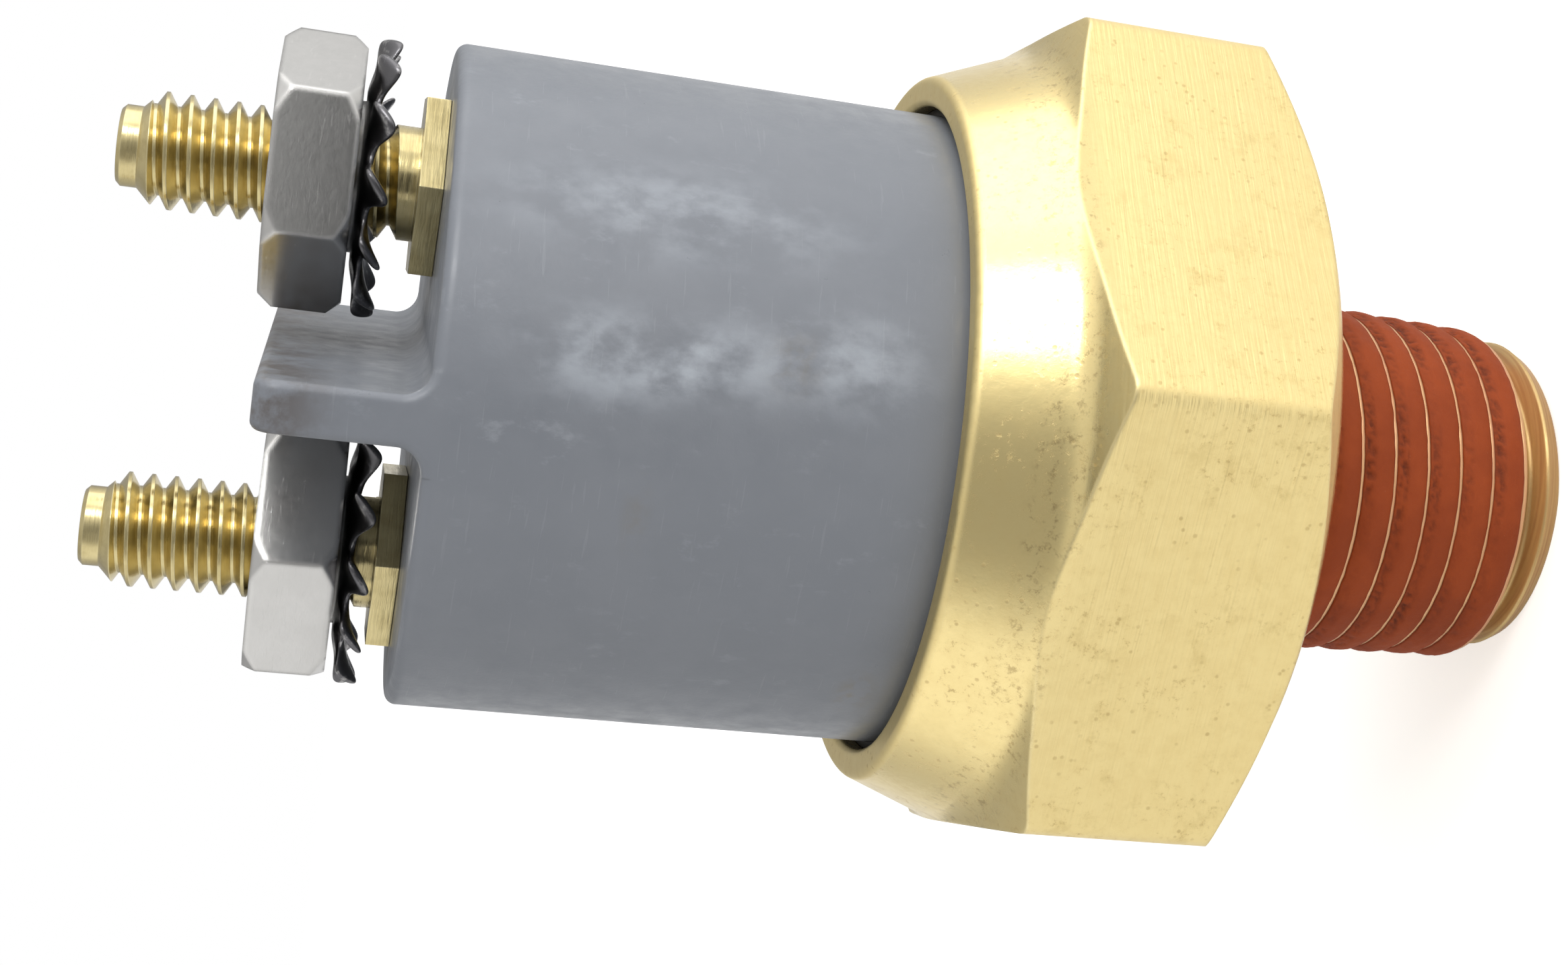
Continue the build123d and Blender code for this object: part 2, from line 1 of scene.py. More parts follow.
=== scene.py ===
"""Pressure switch: finishes, a detailed band of thread sealant, toothed washers and a plain studio stage.

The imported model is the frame. Lengths on the sliders are in millimetres unless their unit says otherwise.
"""
import math

import bmesh
import bpy
from mathutils import Matrix, Vector, noise


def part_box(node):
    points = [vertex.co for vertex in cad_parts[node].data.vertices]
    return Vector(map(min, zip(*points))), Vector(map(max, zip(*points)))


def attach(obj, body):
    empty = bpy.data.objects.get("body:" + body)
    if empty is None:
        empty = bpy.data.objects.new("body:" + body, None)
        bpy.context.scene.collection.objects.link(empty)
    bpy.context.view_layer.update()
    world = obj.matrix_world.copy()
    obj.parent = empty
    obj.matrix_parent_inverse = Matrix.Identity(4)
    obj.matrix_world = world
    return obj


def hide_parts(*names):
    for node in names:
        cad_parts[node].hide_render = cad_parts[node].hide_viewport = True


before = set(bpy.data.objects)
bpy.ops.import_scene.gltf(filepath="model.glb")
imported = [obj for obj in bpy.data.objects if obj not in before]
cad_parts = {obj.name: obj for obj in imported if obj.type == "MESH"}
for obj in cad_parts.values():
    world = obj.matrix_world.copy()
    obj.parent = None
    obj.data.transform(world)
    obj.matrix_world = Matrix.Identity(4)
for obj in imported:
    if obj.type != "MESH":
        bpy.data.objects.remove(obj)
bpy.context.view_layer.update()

bl_info = {
    "name": "Pressure Switch Finisher",
    "version": (1, 0, 0),
    "blender": (4, 5, 0),
    "location": "View3D > Sidebar > Switch",
    "description": "Finishes the pieces of a screw-terminal pressure switch and sets its studio stage",
    "category": "Material",
}

MM = 0.001
SIDES = ("left", "right")

# Levels along the axis, in millimetres, read from the frame's own boxes
THREAD_END, LIP_TOP = (corner.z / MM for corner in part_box("hex_body"))
RIB_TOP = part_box("switch_housing")[1].z / MM
COLLAR_FOOT = 8.2  # where the collar starts to rise out of the hexagon
COLLAR_CLEAR = 9.6  # above it the flats' marks are gone

# The pipe thread, 1/4-18 NPT: its groove starts on +X below the end and climbs to the right
PIPE_PITCH = 25.4 / 18
PIPE_TAPER = 1 / 32
PIPE_END_RADIUS = 6.56
GROOVE_START = THREAD_END - 1.37
LEAD_LENGTH = 1.2
LEAD_FALL = 0.5  # of the lead's surface, radius per length


# ---- shader building ----
def picked(sockets, name):
    """The socket of that name that the node's settings leave in use."""
    return next(s for s in sockets if name in (s.name, s.identifier) and s.enabled)


def opaque(colour):
    """A plain colour with its alpha added, or a colour socket as it is."""
    return (*colour, 1.0) if isinstance(colour, tuple) else colour


class Value:
    """A number that varies over the surface. Sums, differences and products of values add Math nodes."""

    def __init__(self, shader, socket):
        self.shader, self.socket = shader, socket

    def math(self, operation, first, second):
        sockets = {0: first, 1: second}
        return self.shader.node("ShaderNodeMath", {"operation": operation}, sockets).value("Value")

    def __add__(self, other):
        return self.math("ADD", self, other)

    def __sub__(self, other):
        return self.math("SUBTRACT", self, other)

    def __rsub__(self, other):
        return self.math("SUBTRACT", other, self)

    def __mul__(self, other):
        return self.math("MULTIPLY", self, other)

    __radd__ = __add__
    __rmul__ = __mul__

    def ramp(self, low, high, start=0.0, end=1.0):
        """Goes smoothly from start to end while this value goes from low to high."""
        limits = {"Value": self, "From Min": low, "From Max": high, "To Min": start, "To Max": end}
        settings = {"interpolation_type": "SMOOTHSTEP"}
        return self.shader.node("ShaderNodeMapRange", settings, limits).value("Result")

    def band(self, low, high, soft):
        """1 between low and high, falling to 0 over the soft width outside them."""
        return self.ramp(low - soft, low) * self.ramp(high, high + soft, 1.0, 0.0)


class Built:
    """A node that has been added, and the way to its outputs."""

    def __init__(self, shader, added):
        self.shader, self.added = shader, added

    def value(self, name):
        return Value(self.shader, picked(self.added.outputs, name))

    def link(self, name):
        return picked(self.added.outputs, name)


class Shader:
    """The node tree of a material or of the world, cleared and then built up."""

    def __init__(self, owner):
        owner.use_nodes = True
        self.tree = owner.node_tree
        self.tree.nodes.clear()

    def node(self, kind, settings, sockets):
        """Adds a node: its settings first, then the values or links of its sockets."""
        added = self.tree.nodes.new(kind)
        for name, setting in settings.items():
            setattr(added, name, setting)
        for name, given in sockets.items():
            socket = added.inputs[name] if isinstance(name, int) else picked(added.inputs, name)
            given = given.socket if isinstance(given, Value) else given
            if isinstance(given, bpy.types.NodeSocket):
                self.tree.links.new(given, socket)
            else:
                socket.default_value = given
        return Built(self, added)

    def vector(self, operation, *vectors):
        """A Vector Math node with these vectors on its sockets, in order."""
        return self.node("ShaderNodeVectorMath", {"operation": operation}, dict(enumerate(vectors)))

    def grey(self, level):
        """A colour with the same level in all its parts."""
        parts = dict.fromkeys(("Red", "Green", "Blue"), level)
        return self.node("ShaderNodeCombineColor", {}, parts).link("Color")

    def seen(self):
        """1 where the camera looks straight at the surface or the room, 0 for every other ray."""
        return self.node("ShaderNodeLightPath", {}, {}).value("Is Camera Ray")


class Finish(Shader):
    """One material and its node tree, built up in the surface's own coordinates, in millimetres."""

    def __init__(self, name):
        self.material = bpy.data.materials.new(name)
        super().__init__(self.material)
        coordinates = self.node("ShaderNodeTexCoord", {}, {}).link("Object")
        self.place = self.node(
            "ShaderNodeVectorMath", {"operation": "SCALE"}, {"Vector": coordinates, "Scale": 1 / MM}
        ).link("Vector")
        parts = self.node("ShaderNodeSeparateXYZ", {}, {"Vector": self.place})
        self.x, self.z = parts.value("X"), parts.value("Z")

    def noise(self, per_mm, detail=3.0, rough=0.55, along=None, warp=0.0):
        """Cloudy noise from 0 to 1; along multiplies each axis, for grain and tool marks."""
        vector = self.vector("MULTIPLY", self.place, along).link("Vector") if along else self.place
        sockets = {"Scale": per_mm, "Detail": detail, "Roughness": rough, "Distortion": warp}
        return self.node("ShaderNodeTexNoise", {}, {"Vector": vector, **sockets}).value("Fac")

    def cells(self, per_mm):
        """Distance from the middle of the nearest of many scattered cells."""
        sockets = {"Vector": self.place, "Scale": per_mm}
        return self.node("ShaderNodeTexVoronoi", {}, sockets).value("Distance")

    def near(self, spot, reach, squeeze):
        """1 at a spot, falling to 0 at reach; squeeze makes the mark longer or shorter along each axis."""
        away = self.vector("SUBTRACT", self.place, spot).link("Vector")
        scaled = self.vector("MULTIPLY", away, squeeze).link("Vector")
        return self.vector("LENGTH", scaled).value("Value").ramp(0.0, reach, 1.0, 0.0)

    def marks(self, spots):
        """The sum of marks, each given by its spot, reach, squeeze and strength."""
        return sum(self.near(spot, reach, squeeze) * strength for spot, reach, squeeze, strength in spots)

    def mix(self, factor, under, over):
        """Lays the over colour on the under colour by a factor."""
        settings = {"data_type": "RGBA", "clamp_factor": True}
        sockets = {"Factor": factor, "A": opaque(under), "B": opaque(over)}
        return self.node("ShaderNodeMix", settings, sockets).link("Result")

    def rounded(self, radius):
        """The surface normal as if sharp edges were rounded to this radius."""
        return self.node("ShaderNodeBevel", {"samples": 6}, {"Radius": radius * MM}).link("Normal")

    def edges(self, radius):
        """1 on sharp edges and 0 on open faces."""
        flat = self.node("ShaderNodeNewGeometry", {}, {}).link("Normal")
        agreement = self.vector("DOT_PRODUCT", self.rounded(radius), flat).value("Value")
        return agreement.ramp(0.80, 0.995, 1.0, 0.0)

    def bump(self, height, depth, normal=None):
        """A normal tilted by a height that varies from 0 to 1, depth millimetres deep."""
        sockets = {"Height": height, "Distance": depth * MM, "Strength": 1.0}
        if normal is not None:
            sockets["Normal"] = normal
        return self.node("ShaderNodeBump", {}, sockets).link("Normal")

    def close(self, colour, roughness, metallic=0.0, normal=None, **constants):
        """Ends the tree with the surface itself; constants go straight on the shader's sockets."""
        sockets = {"Base Color": opaque(colour), "Roughness": roughness, "Metallic": metallic}
        if normal is not None:
            sockets["Normal"] = normal
        sockets.update({name.replace("_", " "): constant for name, constant in constants.items()})
        surface = self.node("ShaderNodeBsdfPrincipled", {}, sockets).link("BSDF")
        self.node("ShaderNodeOutputMaterial", {}, {"Surface": surface})
        return self.material


def wear(node, material):
    """Puts a finish on every slot of a CAD node."""
    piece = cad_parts[node]
    if not piece.material_slots:
        raise RuntimeError(f"{node} has no material slot")
    for slot in piece.material_slots:
        slot.material = material


# ---- what a user would change ----
def colour_property(name, description, default):
    return bpy.props.FloatVectorProperty(
        name=name, description=description, default=default, subtype="COLOR", size=3, min=0.0, max=1.0
    )


def share_property(name, description, default):
    return bpy.props.FloatProperty(
        name=name, description=description, default=default, min=0.0, max=1.0, subtype="FACTOR"
    )


def height_property(name, description, default, most):
    """A height in millimetres, from 0 to the most that leaves room for it."""
    return bpy.props.FloatProperty(name=name, description=description, default=default, min=0.0, max=most)


def power_property(name, description, default):
    return bpy.props.FloatProperty(
        name=name, description=description, default=default, min=0.0, unit="POWER"
    )


class SwitchBodySettings(bpy.types.PropertyGroup):
    brass: colour_property("Brass", "Clean brass of the hexagon and collar", (0.90, 0.73, 0.345))
    tarnish: colour_property("Tarnish", "Stain in the brass's pits and hollows", (0.42, 0.28, 0.10))
    flat_roughness: share_property("Flats", "Roughness of the hexagon's flats", 0.40)
    collar_roughness: share_property("Collar", "Roughness of the rolled collar", 0.24)
    pitting: share_property("Pitting", "How strongly the dark pits show", 0.85)


class SwitchSealantSettings(bpy.types.PropertyGroup):
    paste: colour_property("Paste", "Dried sealant", (0.300, 0.055, 0.013))
    proud: height_property("Proud", "Height of the paste over the crests, in mm", 0.20, most=0.2)
    lumps: height_property("Lumps", "Height of the paste's lumps, in mm", 0.05, most=0.1)
    crumbs: height_property("Crumbs", "Depth of the torn strip beside each crest, in mm", 0.27, most=0.3)


class SwitchHousingSettings(bpy.types.PropertyGroup):
    plastic: colour_property("Plastic", "Moulded housing", (0.178, 0.190, 0.212))
    roughness: share_property("Roughness", "Roughness of the moulded skin", 0.38)
    stains: share_property("Stains", "How strongly handling stains show", 0.6)


class SwitchTerminalSettings(bpy.types.PropertyGroup):
    plating: colour_property("Plating", "Nickel plate of the nuts", (0.62, 0.61, 0.59))
    dark_steel: colour_property("Washer", "Hardened steel of the toothed washers", (0.145, 0.142, 0.148))
    stud_brass: colour_property("Stud brass", "Brass of the terminal studs", (0.68, 0.575, 0.30))


class SwitchStageSettings(bpy.types.PropertyGroup):
    floor: colour_property("Floor", "Pale seamless floor", (0.93, 0.93, 0.93))
    focal_length: bpy.props.FloatProperty(
        name="Focal length", description="Lens on a 36 mm wide sensor", default=55.37, min=1.0, unit="CAMERA"
    )
    key_power: power_property("Key light", "Power of the large soft light", 0.22)
    strip_power: power_property("Strip light", "Power of the narrow light", 0.24)


# ---- finishes ----
def brass_body(settings):
    """Turned brass: sawn hexagon flats, a burnished rolled collar, thread crests and a turned lead."""
    skin = Finish("turned_brass_body")
    collar = skin.z.ramp(COLLAR_FOOT, COLLAR_CLEAR)
    lip = collar * skin.z.ramp(LIP_TOP - 0.35, LIP_TOP - 0.15)
    flats = skin.z.ramp(0.05, 0.4) * (1 - collar)
    thread = skin.z.ramp(-0.3, -0.1, 1.0, 0.0)

    clouds = skin.noise(0.35, detail=4.0)
    mottle = skin.noise(1.6, detail=6.0, rough=0.7)
    saw_marks = skin.noise(1.0, detail=2.0, along=(0.35, 0.35, 9.0))
    pits = skin.cells(2.4).ramp(0.10, 0.26, 1.0, 0.0) * skin.noise(0.5, detail=2.0).ramp(0.48, 0.62)
    grime = skin.noise(3.2, detail=5.0, rough=0.75).ramp(0.55, 0.72) * clouds.ramp(0.45, 0.62)
    stain = (pits * 0.5 + grime * 0.6) * settings.pitting * (1 - thread)
    ring_specks = skin.z.band(9.4, 10.6, 0.6) * skin.noise(2.2, detail=6.0, rough=0.8).ramp(0.52, 0.66)
    under_lip = (1 - skin.z.ramp(LIP_TOP - 1.1, LIP_TOP - 0.5)) * collar
    edges = skin.edges(0.28)

    colour = skin.mix(mottle.ramp(0.35, 0.7) * 0.35, tuple(settings.brass), (0.80, 0.62, 0.27))
    smudges = skin.noise(0.9, detail=6.0, rough=0.7).ramp(0.50, 0.66) * clouds.ramp(0.35, 0.60)
    colour = skin.mix(smudges * flats * 0.35, colour, (0.66, 0.50, 0.20))
    colour = skin.mix(stain, colour, tuple(settings.tarnish))
    colour = skin.mix(ring_specks * under_lip * 0.5, colour, (0.30, 0.20, 0.08))
    colour = skin.mix(edges * (1 - thread) * (1 - lip) * 0.4, colour, (1.0, 0.88, 0.55))
    turning = skin.noise(1.0, detail=3.0, along=(0.15, 0.15, 11.0))
    wash = thread * turning.ramp(0.30, 0.70, 0.55, 0.85) * (1 - edges * 0.6)
    crests = skin.z.ramp(THREAD_END + 1.2, THREAD_END + 1.6)
    colour = skin.mix(wash * (1 - crests), colour, (0.36, 0.155, 0.055))
    colour = skin.mix(wash * crests, colour, (0.66, 0.27, 0.17))

    roughness = flats * (settings.flat_roughness - settings.collar_roughness) + settings.collar_roughness
    roughness = roughness + (mottle - 0.5) * 0.18 + stain * 0.25 + lip * 0.16 + thread * 0.1
    height = saw_marks * flats * 1.5 + mottle * 0.6 - stain * 0.7
    normal = skin.bump(height, 0.012, skin.rounded(0.22))
    return skin.close(colour, roughness, metallic=1.0 - stain * 0.35 - wash * 0.45, normal=normal)


def dried_paste(settings):
    """Matte brick-red sealant with pale dust, darkened in the deepest torn pits: dark crumbs and painted
    shade.
    """
    skin = Finish("dried_sealant_paste")
    torn = skin.node("ShaderNodeAttribute", {"attribute_name": CRUMB_AND_SHADE}, {}).value("Fac")
    crumbs = skin.noise(2.6, detail=6.0, rough=0.75)
    fine = skin.noise(9.0, detail=4.0, rough=0.7)
    patches = skin.noise(0.45, detail=3.0)
    colour = skin.mix(patches.ramp(0.35, 0.65) * 0.5, tuple(settings.paste), (0.22, 0.038, 0.010))
    # the torn pits darkened: dark crumbs and painted shade where they dip deepest
    colour = skin.mix(torn * fine.ramp(0.25, 0.50), colour, (0.050, 0.012, 0.007))
    colour = skin.mix(fine.ramp(0.66, 0.76) * 0.30, colour, (0.52, 0.24, 0.14))
    height = crumbs * 0.6 + fine * 0.4
    return skin.close(
        colour, 0.62 + fine * 0.2, normal=skin.bump(height, 0.035), Specular_IOR_Level=0.2
    )


# Marks on the housing's front: spot, reach, squeeze along each axis, strength; first the brown handling
# stains, then pale painted sheen
BROWN_STAINS = (
    ((-8.6, -8.7, 14.6), 1.5, (0.8, 0.8, 1.5), 1.0),
    ((3.4, -11.7, 18.9), 1.6, (1.0, 1.0, 1.1), 0.5),
    ((-2.4, -12.0, 23.6), 1.4, (0.7, 0.7, 2.0), 0.4),
)
# Painted sheen: pale patches painted where the highlights fall on the front
PAINTED_SHEEN_PATCHES = (
    ((2.9, -11.9, 25.0), 4.2, (1.7, 1.7, 0.9), 1.0),
    ((3.2, -11.8, 21.0), 3.8, (1.7, 1.7, 0.9), 0.8),
    ((3.6, -11.6, 16.8), 3.8, (1.4, 1.4, 1.0), 0.8),
    ((7.7, -9.5, 23.2), 5.4, (1.9, 1.9, 0.6), 0.7),
)


def moulded_plastic(settings):
    """Blue-grey moulding with a cloudy sheen, whitish scuffs, small brown handling stains, pale painted
    sheen patches on the front and painted shade along the rib's top.
    """
    skin = Finish("moulded_housing_plastic")
    clouds = skin.noise(0.30, detail=4.0, rough=0.6)
    sheen = skin.noise(0.9, detail=5.0, rough=0.6)
    fine = skin.noise(7.0, detail=3.0)
    scuffs = skin.noise(1.1, detail=7.0, rough=0.72, along=(1.0, 1.0, 0.55)).ramp(0.56, 0.72)
    scuffed = scuffs * clouds.ramp(0.40, 0.60)
    scratches = skin.noise(1.6, detail=2.0, along=(0.25, 0.25, 5.0), warp=0.4).ramp(0.66, 0.70)
    stain = skin.marks(BROWN_STAINS) * skin.noise(1.6, detail=5.0).ramp(0.38, 0.62)
    # painted sheen: streaky pale patches that stand in for highlights
    sheen_streaks = skin.noise(0.75, detail=6.0, rough=0.55, along=(1.0, 1.0, 0.7)).ramp(0.34, 0.68)
    rubbed = skin.marks(PAINTED_SHEEN_PATCHES) * sheen_streaks
    edges = skin.edges(0.35)

    colour = skin.mix(clouds.ramp(0.35, 0.65) * 0.35, tuple(settings.plastic), (0.150, 0.163, 0.185))
    colour = skin.mix(scuffed * 0.30, colour, (0.32, 0.34, 0.37))
    # painted sheen laid on the colour
    colour = skin.mix(rubbed * 0.75, colour, (0.40, 0.43, 0.47))
    colour = skin.mix(scratches * 0.08, colour, (0.40, 0.42, 0.44))
    colour = skin.mix(stain * settings.stains, colour, (0.17, 0.145, 0.105))
    # Painted shade: blotchy dark brown towards the top of the rib, beside the nuts
    shade_blotches = skin.noise(0.6, detail=5.0, rough=0.7).ramp(0.35, 0.62)
    rib_top_shade = skin.z.ramp(RIB_TOP - 3.2, RIB_TOP - 0.3) * shade_blotches
    colour = skin.mix(rib_top_shade * 0.85, colour, (0.088, 0.074, 0.066))
    colour = skin.mix(edges * 0.22, colour, (0.32, 0.335, 0.35))
    roughness = settings.roughness + (sheen - 0.5) * 0.5 + scuffed * 0.1
    height = fine * 0.25 + sheen * 0.6 + scratches * 0.08
    return skin.close(
        colour, roughness, normal=skin.bump(height, 0.02, skin.rounded(0.25)), Specular_IOR_Level=0.55
    )


def black_rubber():
    """Dull black seal."""
    skin = Finish("black_seal_rubber")
    grain = skin.noise(5.0, detail=4.0)
    colour = skin.mix(grain, (0.012, 0.012, 0.014), (0.035, 0.035, 0.038))
    return skin.close(colour, 0.55 + grain * 0.25, normal=skin.bump(grain, 0.02))


def plated_nut(settings):
    """Satin nickel plate with tumbling marks and bright edges."""
    skin = Finish("nickel_plated_nut")
    clouds = skin.noise(0.8, detail=4.0)
    tumble = skin.noise(3.5, detail=5.0, rough=0.65)
    scratches = skin.noise(2.2, detail=2.0, along=(0.5, 0.5, 4.5), warp=0.5).ramp(0.62, 0.68)
    edges = skin.edges(0.22)
    colour = skin.mix(clouds.ramp(0.3, 0.7) * 0.25, tuple(settings.plating), (0.50, 0.49, 0.47))
    colour = skin.mix(edges * 0.3, colour, (0.80, 0.79, 0.76))
    roughness = 0.21 + (tumble - 0.5) * 0.10 + scratches * 0.05
    normal = skin.bump(tumble * 0.8 + scratches * 0.1, 0.003, skin.rounded(0.3))
    return skin.close(colour, roughness, metallic=1.0, normal=normal)


def dark_spring_steel(settings):
    """Hardened, oil-blackened washer steel, rubbed bright on its teeth."""
    skin = Finish("blackened_washer_steel")
    rub = skin.noise(1.7, detail=5.0, rough=0.65).ramp(0.52, 0.66)
    edges = skin.edges(0.15)
    colour = skin.mix(rub * 0.65, tuple(settings.dark_steel), (0.50, 0.49, 0.48))
    colour = skin.mix(edges * rub * 0.8, colour, (0.72, 0.71, 0.70))
    roughness = 0.27 - rub * 0.10
    normal = skin.bump(skin.noise(4.0, detail=4.0), 0.012, skin.rounded(0.08))
    return skin.close(colour, roughness, metallic=1.0, normal=normal)


def stud_brass(settings):
    """Cut-thread brass, slightly green, with rolled streaks round the stud."""
    skin = Finish("machined_stud_brass")
    streaks = skin.noise(1.0, detail=3.0, along=(0.8, 0.8, 8.0))
    clouds = skin.noise(1.2, detail=4.0)
    edges = skin.edges(0.12)
    colour = skin.mix(clouds.ramp(0.35, 0.7) * 0.5, tuple(settings.stud_brass), (0.42, 0.335, 0.15))
    colour = skin.mix(edges * 0.4, colour, (1.0, 0.90, 0.58))
    roughness = 0.22 + (streaks - 0.5) * 0.2
    normal = skin.bump(streaks, 0.008, skin.rounded(0.05))
    return skin.close(colour, roughness, metallic=1.0, normal=normal)


def inner_metal(name, light, dark, roughness=0.3):
    """Plain turned or drawn metal of an inside piece, with faint tool marks."""
    skin = Finish(name)
    marks = skin.noise(1.2, detail=3.0, along=(1.0, 1.0, 5.0))
    colour = skin.mix(marks.ramp(0.35, 0.7), light, dark)
    normal = skin.bump(marks, 0.01, skin.rounded(0.06))
    return skin.close(colour, roughness + (marks - 0.5) * 0.2, metallic=1.0, normal=normal)


def inner_plastic(name, light, dark, roughness=0.4):
    """Plain moulded or film plastic of an inside piece."""
    skin = Finish(name)
    cloud = skin.noise(0.9, detail=4.0)
    colour = skin.mix(cloud.ramp(0.3, 0.7), light, dark)
    return skin.close(colour, roughness + (cloud - 0.5) * 0.15, normal=skin.bump(cloud, 0.01))


# ---- pieces ----
class SWITCH_OT_finish_body(bpy.types.Operator):
    """Finishes the brass base: hexagon, rolled collar and pipe thread"""

    bl_idname = "switch.finish_body"
    bl_label = "Brass base"

    def execute(self, context):
        wear("hex_body", brass_body(context.scene.switch_body))
        return {"FINISHED"}


CRUMB_AND_SHADE = "torn"  # the mesh attribute that says how dark the torn pits are painted, dark crumbs and painted shade together
FIRST_TURN = 2.22  # turns up the groove from its start, where the paste begins and ends
LAST_TURN = 9.74
STEPS_PER_TURN = 300
SAMPLES_ACROSS = 17
EDGE_PLACE = 0.458  # of the paste's edge, in pitches from the middle of the groove
EDGE_WANDER = 0.022
TORN_PLACE = 0.31
TORN_REACH = 0.17
UNDERSIDE = (0.28, -0.35)  # half width in pitches and depth in millimetres of the paste's hidden underside
RUN_OUT = 0.22  # turns over which the paste thins at either end


def thread_point(turn, across, stand):
    """A point by its turn along the groove, place across it in pitches and height over the crests."""
    angle = 2 * math.pi * turn
    level = GROOVE_START + (turn + across) * PIPE_PITCH
    lead = max(0.0, THREAD_END + LEAD_LENGTH - level) * LEAD_FALL
    radius = PIPE_END_RADIUS + (level - THREAD_END) * PIPE_TAPER - lead + stand
    return Vector((radius * math.cos(angle), radius * math.sin(angle), level))


def wander(place, per_mm, shift):
    """Smooth noise from -1 to 1 at a point."""
    return noise.noise(place * per_mm + Vector((shift, -shift, 2 * shift)))


def paste_section(turn, settings):
    """The points round one section of the paste, outer surface first, and how dark each is painted in the
    torn pits (crumbs and painted shade).
    """
    spine = thread_point(turn, 0.0, 0.0)
    to_end = min(turn - FIRST_TURN, LAST_TURN - turn)
    full = min(1.0, 0.1 + 0.9 * to_end / RUN_OUT)
    patch = min(1.0, max(0.1, 0.45 + 1.6 * wander(spine, 0.22, 3.0)))
    edges = [EDGE_PLACE + EDGE_WANDER * wander(spine, 1.9, shift) for shift in (11.0, 17.0)]
    places, crumb_and_shade_levels = [], []
    for sample in range(SAMPLES_ACROSS):
        part = 2 * sample / (SAMPLES_ACROSS - 1) - 1
        across = part * edges[part > 0]
        place = thread_point(turn, across, 0.0)
        crown = (1 - part * part) ** 0.75
        lump = 0.6 * wander(place, 0.8, 5.0) + 0.4 * wander(place, 2.4, 9.0)
        grain = wander(place, 4.5, 23.0) + 0.6 * wander(place, 9.0, 31.0)
        tear = max(0.0, 1 - abs(across - TORN_PLACE) / TORN_REACH) ** 0.5 * patch
        stand = settings.proud * crown + settings.lumps * (lump + 0.25 * grain) * crown
        stand += settings.crumbs * tear * (0.55 * grain - 0.30)
        places.append(thread_point(turn, across, max(0.012, full * stand)))
        # darker where the torn strip dips deepest: dark crumbs and painted shade there
        crumb_and_shade_levels.append(tear * min(1.0, max(0.0, 0.35 - 1.5 * grain)))
    half, depth = UNDERSIDE
    places += [thread_point(turn, across, depth) for across in (half, -half)]
    return places, crumb_and_shade_levels + [0.0, 0.0]


def sealant_mesh(settings):
    """A closed helical band of paste with lumps, torn crumbs and wandering edges."""
    count = round((LAST_TURN - FIRST_TURN) * STEPS_PER_TURN)
    points, crumb_and_shade_levels = [], []
    for step in range(count + 1):
        places, torn = paste_section(FIRST_TURN + step / STEPS_PER_TURN, settings)
        points += [place * MM for place in places]
        crumb_and_shade_levels += torn
    around = SAMPLES_ACROSS + 2
    faces = [tuple(reversed(range(around))), tuple(range(count * around, (count + 1) * around))]
    for step in range(count):
        start = step * around
        for side in range(around):
            after = (side + 1) % around
            faces.append((start + side, start + after, start + around + after, start + around + side))
    data = bpy.data.meshes.new("sealant_paste")
    data.from_pydata(points, [], faces)
    data.attributes.new(CRUMB_AND_SHADE, "FLOAT", "POINT").data.foreach_set("value", crumb_and_shade_levels)
    data.polygons.foreach_set("use_smooth", [True] * len(data.polygons))
    data.validate()
    return data


class SWITCH_OT_finish_sealant(bpy.types.Operator):
    """Lays the dried sealant in the pipe thread, with its lumps and torn crumbs"""

    bl_idname = "switch.finish_sealant"
    bl_label = "Thread sealant"

    def execute(self, context):
        settings = context.scene.switch_sealant
        paste = bpy.data.objects.new("sealant_paste", sealant_mesh(settings))
        context.scene.collection.objects.link(paste)
        paste.data.materials.append(dried_paste(settings))
        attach(paste, "switch_body")
        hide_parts("thread_sealant")
        return {"FINISHED"}


class SWITCH_OT_finish_housing(bpy.types.Operator):
    """Finishes the moulded housing and the black ring round its foot"""

    bl_idname = "switch.finish_housing"
    bl_label = "Housing and seal"

    def execute(self, context):
        wear("switch_housing", moulded_plastic(context.scene.switch_housing))
        rubber = black_rubber()
        for node in ("collar_seal", "base_o_ring"):
            wear(node, rubber)
        return {"FINISHED"}


WASHER_TEETH = 12
WASHER_SHEET = 0.4
WASHER_RADII = (2.83, 3.85, 4.5, 5.1)  # bore, tooth root, middle of the tooth, tip
WASHER_DROP = 0.62  # fall of the cone from its bore to its tips
TOOTH_HALF_WIDTHS = (0.76, 0.80, 0.74)
TOOTH_TWISTS = (4.0, 24.0, 42.0)  # degrees, at the same places as the widths
OUTLINE_CREASE = 0.12
OUTLINE_ANGLE = math.radians(60)
ROUNDING_STEPS = 3


